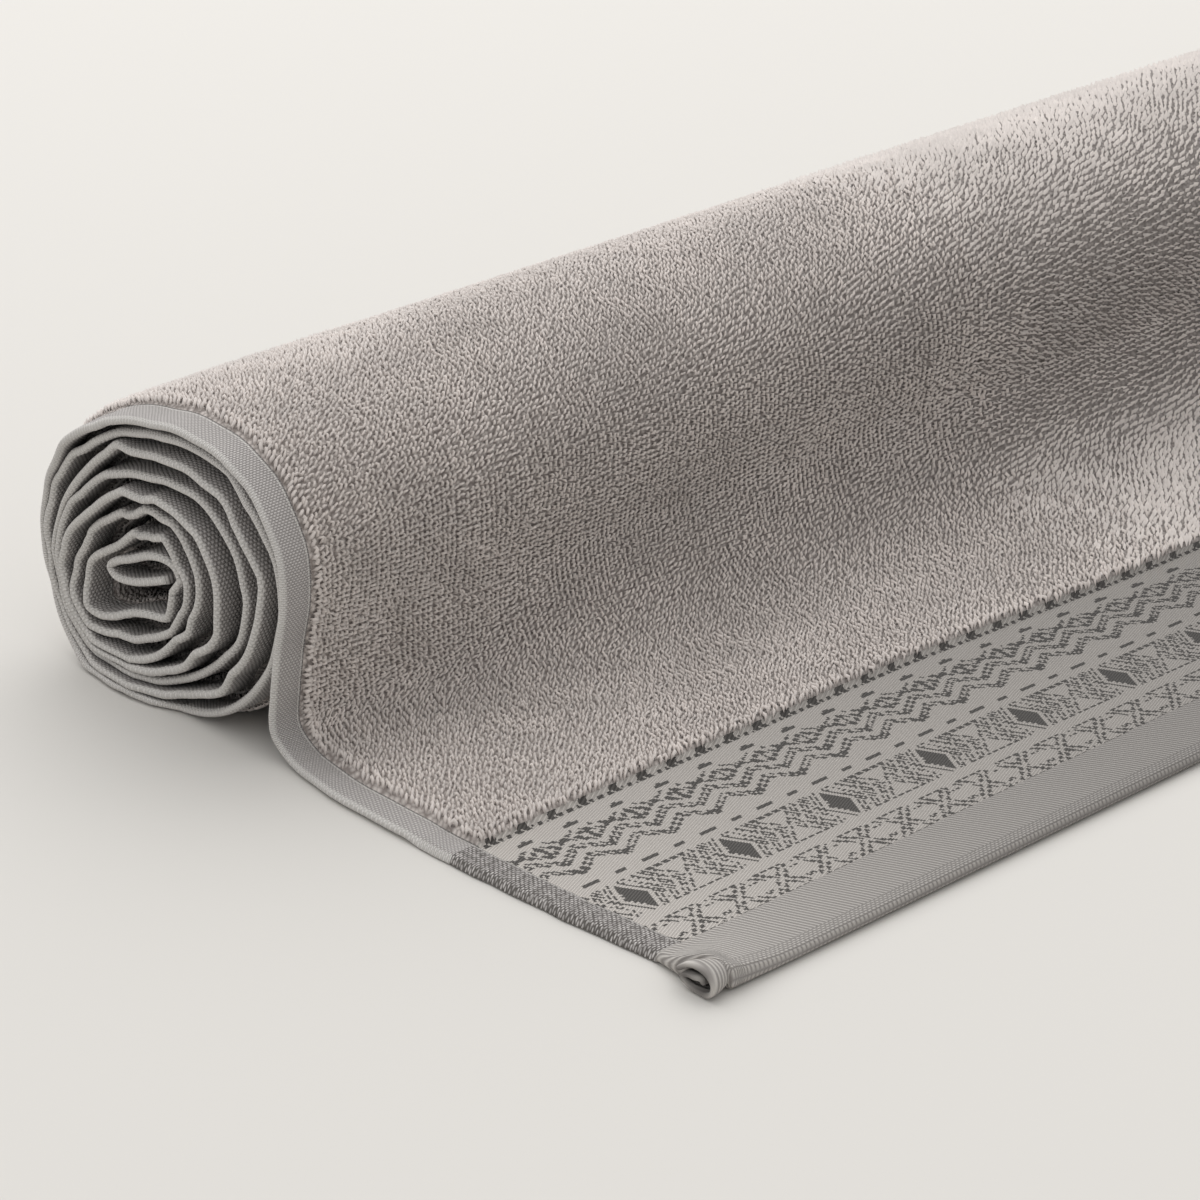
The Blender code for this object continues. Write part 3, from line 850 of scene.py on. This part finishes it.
class Finish:
    # a material, or a world, whose nodes are made by one method
    def __init__(self, name, store=bpy.data.materials):
        self.material = store.new(name)
        self.material.use_nodes = True
        self.tree = self.material.node_tree
        self.tree.nodes.clear()

    def node(self, kind, settings=None, values=None, out=0):
        made = self.tree.nodes.new("ShaderNode" + kind)
        for key, setting in (settings or {}).items():
            setattr(made, key, setting)
        for key, value in (values or {}).items():
            if isinstance(value, Value):
                self.tree.links.new(value.socket, made.inputs[key])
            else:
                made.inputs[key].default_value = value
        return Value(self, made.outputs[out]) if len(made.outputs) else None

    def blend(self, share, first, second):
        # a colour between two, by share
        return self.node(
            "Mix", {"data_type": "RGBA", "clamp_factor": True}, {0: share, 6: first, 7: second}, out=2,
        )

    def soft(self, value, low, high):
        # 0 at low to 1 at high
        return self.node("MapRange", {"clamp": True}, {"Value": value, "From Min": low, "From Max": high})

    def noise(self, place, scale, detail=2.0, roughness=0.5):
        return self.node(
            "TexNoise", {}, {"Vector": place, "Scale": scale, "Detail": detail, "Roughness": roughness},
        )

    def cells(self, place, scale):
        # distance to the middle of the nearest cell, 0 to about 1
        settings = {"voronoi_dimensions": "2D", "feature": "F1"}
        return self.node("TexVoronoi", settings, {"Vector": place, "Scale": scale, "Randomness": 0.75})

    def shade(self, colour, roughness, height=None, depth=0.0005, sheen=0.25):
        values = {"Base Color": colour, "Roughness": roughness, "Sheen Weight": sheen, "Sheen Roughness": 0.6}
        if height is not None:
            values["Normal"] = self.node("Bump", {}, {"Strength": 1.0, "Distance": depth, "Height": height})
        shader = self.node("BsdfPrincipled", {}, values)
        self.node("OutputMaterial", {}, {"Surface": shader})
        return self.material


def colour(red, green, blue):
    # linear colour of 0-255 display numbers
    return tuple((c / 255.0) ** 2.2 for c in (red, green, blue)) + (1.0,)


shades = {
    "loopLight": colour(212, 203, 197),
    "loopFootShade": colour(178, 168, 162),
    "bedLight": colour(206, 197, 191),
    "bedGapShade": colour(140, 131, 126),
    # painted shade: the near-black colour deep between the turns
    "inside": colour(40, 37, 35),
    "hem": colour(203, 198, 195),
    "hemDark": colour(120, 115, 112),
    "endHem": colour(186, 181, 175),
    "speckAndGrooveShade": colour(92, 88, 84),
    "thread": colour(218, 215, 210),
    "border": colour(205, 199, 192),
    "borderDark": colour(164, 158, 152),
    "motif": colour(54, 51, 48),
    "floor": colour(205, 202, 197),
}


def loopFinish():
    # painted shade: darker towards a loop's feet, times the loop's own tone, which between the turns also
    # carries painted shade
    finish = Finish("terry loops")
    lift = finish.node("Attribute", {"attribute_name": "lift"}, {}, out=2)
    toneAndShade = finish.node("Attribute", {"attribute_name": "toneAndShade"}, {}, out=2)
    share = finish.soft(lift, 0.35, 0.95)
    light = finish.blend(share, shades["loopFootShade"], shades["loopLight"])
    toned = finish.node(
        "Mix", {"data_type": "RGBA", "blend_type": "MULTIPLY"},
        {0: 1.0, 6: light, 7: finish.node("CombineColor", {}, {0: toneAndShade, 1: toneAndShade, 2: toneAndShade})}, out=2,
    )
    return finish.shade(toned, 0.95)


weave = {
    "woundFrom": 470.0,        # along the cloth, where the turns inside the outermost begin
    "fine": (0.85, 0.55),      # each stitch's width and height
    "woundFine": (1.0, 0.8),
    "coarse": (1.15, 0.62),
    "threadAt": 6.75,          # the hem's thread, from the side edge
    "threadHalf": 0.2,
    "threadPitch": 2.1,
    "shadeBeside": (6.95, 7.15),
    "rimHighlight": (1.2, 0.6),
    "ribPitch": 1.05,
    "ribSlant": 0.45,
    "endRim": 3.4,
    "satinPitch": 0.66,
    "satinSlant": 0.42,
    "bedCells": 760.0,
    "bump": 0.00024,
}


def clothFinish():
    # hems, border and the bed of the pile on one sheet, told apart by the place on the cloth
    finish = Finish("woven cotton")
    place = finish.node("UVMap", {"uv_map": "cloth"})
    parts = finish.node("SeparateXYZ", {}, {"Vector": place})
    across = parts * 1000.0
    along = Value(finish, parts.socket.node.outputs[1]) * 1000.0
    edge = across.least(cloth["width"] - across)
    isHem = edge < cloth["sideHem"]
    isEnd = along < cloth["endHem"]
    inBorder = (along < cloth["loopsStart"]) * (1.0 - isEnd) * (1.0 - isHem)
    lit = finish.node("Attribute", {"attribute_name": "lit"}, {}, out=2)
    # the pile looks smoother along the roll
    smoothEnd = pile["smoothFrom"] + pile["smoothOver"]
    smooth = finish.soft(across, pile["smoothFrom"], smoothEnd) * pile["smoothest"]

    def grains(wide, tall):
        # rice-shaped stitches in brick rows: 1 at each middle, 0 between
        row = (along / tall).floor()
        u = abs((across / wide + row * 0.5).fract() - 0.5) * 2.0
        v = abs((along / tall).fract() - 0.5) * 2.0
        return (1.0 - u * u) * (1.0 - v * v)

    def wave(value, pitch):
        return (value * (2 * math.pi / pitch)).sin() * 0.5 + 0.5

    # side hem: a fine plain weave, speckled where the border's yarns run into it, with a thread along its
    # inner side. The wound turns show a coarser weave than the outermost
    isWound = along > weave["woundFrom"]
    fine = grains(*weave["fine"]) * (1.0 - isWound) + grains(*weave["woundFine"]) * isWound
    coarse = grains(*weave["coarse"])
    speckled = (along < cloth["loopsStart"]) * isHem
    # painted highlight: a pale line along the rim, in the thread's colour, except where speckled
    rimHighlight = finish.soft(edge, *weave["rimHighlight"]) * (1.0 - speckled)
    hemColour = finish.blend(fine * 0.75 + (1.0 - isWound) * 0.2, shades["hemDark"], shades["hem"])
    speckle = finish.noise(place, 900.0, 1.0) + coarse * 0.55
    hemColour = finish.blend(speckled * finish.soft(speckle, 0.92, 0.62), hemColour, shades["speckAndGrooveShade"])
    hemColour = finish.blend(rimHighlight * 0.6, hemColour, shades["thread"])
    onThread = abs(edge - weave["threadAt"]) < weave["threadHalf"]
    thread = onThread * ((along / weave["threadPitch"]).fract() > 0.1)
    hemColour = finish.blend(thread * 0.8, hemColour, shades["thread"])
    # painted shade: a dark band over the stitched groove beside the thread, in the speckles' colour
    beside = finish.soft(edge, *weave["shadeBeside"]) * isHem
    hemColour = finish.blend(beside * 0.6, hemColour, shades["speckAndGrooveShade"])
    # end hem: slanting ribs, with coarse stitches round its rim
    rib = wave(across + along * weave["ribSlant"], weave["ribPitch"])
    nearRim = along < weave["endRim"]
    endHeight = rib * (1.0 - nearRim) + coarse * nearRim
    endColour = finish.blend(endHeight * 0.8 + 0.15, shades["hemDark"], shades["endHem"])
    hemColour = finish.blend(isEnd, hemColour, endColour)

    # the bed between the loops: small cells with painted shade in the gaps, like the loops' own rows
    cell = finish.cells(place, weave["bedCells"])
    gaps = finish.soft(cell, 0.12, 0.62) * (1.0 - smooth * 0.9)
    bedColour = finish.blend(gaps, shades["bedLight"], shades["bedGapShade"])

    motif = borderMotif(finish, across, along, edge)
    satin = wave(along - across * weave["satinSlant"], weave["satinPitch"])
    yarns = satin * 0.7 + finish.noise(place, 1500.0) * 0.3
    borderColour = finish.blend(yarns, shades["borderDark"], shades["border"])
    borderColour = finish.blend(motif * (0.84 + satin * 0.16), borderColour, shades["motif"])
    woven = isHem.most(isEnd)
    shown = finish.blend(woven, bedColour, hemColour)
    shown = finish.blend(inBorder, shown, borderColour)
    # deep between the turns little light comes
    shown = finish.blend(1.0 - lit, shown, shades["inside"])
    sideHeight = fine * (1.0 - speckled) + coarse * speckled
    hemHeight = sideHeight * (1.0 - isEnd) + endHeight * isEnd
    height = hemHeight * woven + (satin * 0.8 + (1.0 - motif) * 0.6) * inBorder
    height = height + (1.0 - cell) * (1.0 - smooth) * 3.0 * (1.0 - woven) * (1.0 - inBorder)
    return finish.shade(shown, 0.9, height, weave["bump"], sheen=0.08)


def borderMotif(finish, across, along, edge):
    # the border is woven in small cells, so it is worked out at each cell's middle
    cell = 0.55
    row = (along / cell).floor()
    s = (row + 0.5) * cell + 0.8
    x = ((across / cell + (row * 0.5).fract()).floor() + 0.5) * cell + 0.4

    def near(pitch, middle):
        # distance to the nearest repeat
        return abs(((x - middle) / pitch + 0.5).fract() - 0.5) * pitch

    def band(value, middle, half):
        return abs(value - middle) < half

    # a twill of two dark cells and one light, moving one cell a row
    twill = ((x / cell + row * 1.5) / 3.0).fract() > 0.3
    stitch = ((x / cell + row * 0.5) / 4.0).fract() > 0.22
    dark = []
    # dashes beside the pile
    du = near(8.2, 11.0)
    dark.append(band(s, 73.5, 0.6) * (du < 2.4) * stitch)
    dark.append(band(s, 74.3, 0.5) * (du < 1.3))
    dark.append(band(s, 73.5, 0.4) * (near(8.2, 15.1) < 0.6))
    # the diamond chain with its caps
    du = near(12.16, 15.7)
    dv = abs(s - 63.6)
    ring = du * 0.66 + dv
    dark.append(band(ring, 2.4, 0.72) * stitch)
    dark.append((du < 0.4) * (dv < 1.5))
    dark.append(band(s, 68.8, 0.55) * (du < 1.9))
    dark.append(band(s, 69.6, 0.45) * (du < 0.7))
    dark.append(band(s + du * 0.62, 68.3, 0.4) * band(du, 3.7, 1.7) * stitch)
    dark.append(band(s - du * 0.6, 61.2, 0.5) * band(du, 5.2, 0.9))
    dark.append(band(s - (6.08 - du) * 0.5, 64.6, 0.75) * (du > 4.4) * stitch)
    # two double zigzags
    for drop, fill in ((0.0, 1.2), (4.6, 1.9)):
        zig = s - du * 0.7 + drop
        dark.append(band(zig, 58.1, 0.45) * stitch)
        dark.append(band(zig, 56.7, 0.45) * stitch)
        dark.append(band(zig, 57.4, 0.9) * (du < fill) * twill)
    # a row of large and small dashes
    dark.append(band(s, 48.0, 0.6) * (near(15.96, 13.0) < 2.1))
    dark.append(band(s, 48.0, 0.5) * (near(15.96, 20.98) < 1.5))
    # the main band: leaves between chevrons of short dashes
    du = near(28.6, 15.7)
    dv = abs(s - 38.5)
    ring = du + dv * (du * 0.035 + 0.46)
    inBand = dv < 6.6
    dark.append((ring < 2.95) * (dv < 6.3))
    for start, end in ((4.2, 7.0), (7.9, 10.4), (11.2, 13.4)):
        nested = ((ring - start) / 1.25).fract() < 0.62
        dark.append(band(ring, (start + end) / 2, (end - start) / 2) * inBand * nested * stitch)
    dark.append(band(ring, 14.6, 0.4) * inBand * stitch)
    dark.append(band(dv, 6.2, 0.4) * (ring > 14.6) * stitch)
    # crosses
    du = near(11.97, 16.95)
    dv = abs(s - 23.95)
    arm = dv - du * 1.08
    dark.append(band(arm, 1.1, 0.6) * (dv < 4.9) * stitch)
    dark.append(band(arm, -1.1, 0.55) * (dv < 4.6) * stitch)
    dark.append(band(dv, 4.6, 0.4) * (du < 3.8) * stitch)
    dark.append(band(dv, 2.3, 0.4) * (near(11.97, 10.96) < 1.2) * twill)
    total = dark[0]
    for part in dark[1:]:
        total = total.most(part)
    return total


loopMaterial, clothMaterial = loopFinish(), clothFinish()
for piece in loopPieces:
    piece.data.materials.append(loopMaterial)
for piece in (clothPiece, cornerPiece):
    piece.data.materials.append(clothMaterial)
print("materials made")

light = {
    "level": 0.54,             # of the studio's air, near the floor
    "overhead": 1.02,
    "keyPower": 36.0,
    "keySize": 2.8,
    "keyStands": (0.5, 1.15, 1.6),
}


def makeStage():
    # a plain pale floor, one wide light behind the roll, and the studio's air
    bpy.ops.mesh.primitive_plane_add(size=12.0, location=(0.0, 0.0, -0.0002))
    floor = bpy.context.object
    floor.name = "floor"
    finish = Finish("floor")
    floor.data.materials.append(finish.shade(shades["floor"], 0.9, sheen=0.0))
    data = bpy.data.lights.new("key", "AREA")
    data.shape = "SQUARE"
    data.size = light["keySize"]
    data.energy = light["keyPower"]
    key = bpy.data.objects.new("key", data)
    key.location = light["keyStands"]
    key.rotation_euler = (-Vector(light["keyStands"])).to_track_quat("-Z", "Y").to_euler()
    bpy.context.scene.collection.objects.link(key)
    # the air is brighter overhead: level + (overhead - level) times the direction's height
    sky = Finish("studio", bpy.data.worlds)
    direction = sky.node("TexCoord")
    height = sky.node("SeparateXYZ", {}, {"Vector": direction}, out=2)
    strength = sky.soft(height, 0.0, 1.0) * (light["overhead"] - light["level"]) + light["level"]
    air = sky.node("Background", {}, {"Color": (1.0, 1.0, 1.0, 1.0), "Strength": strength})
    sky.node("OutputWorld", {}, {"Surface": air})
    bpy.context.scene.world = sky.material
    bpy.context.scene.view_settings.view_transform = "Standard"


makeStage()
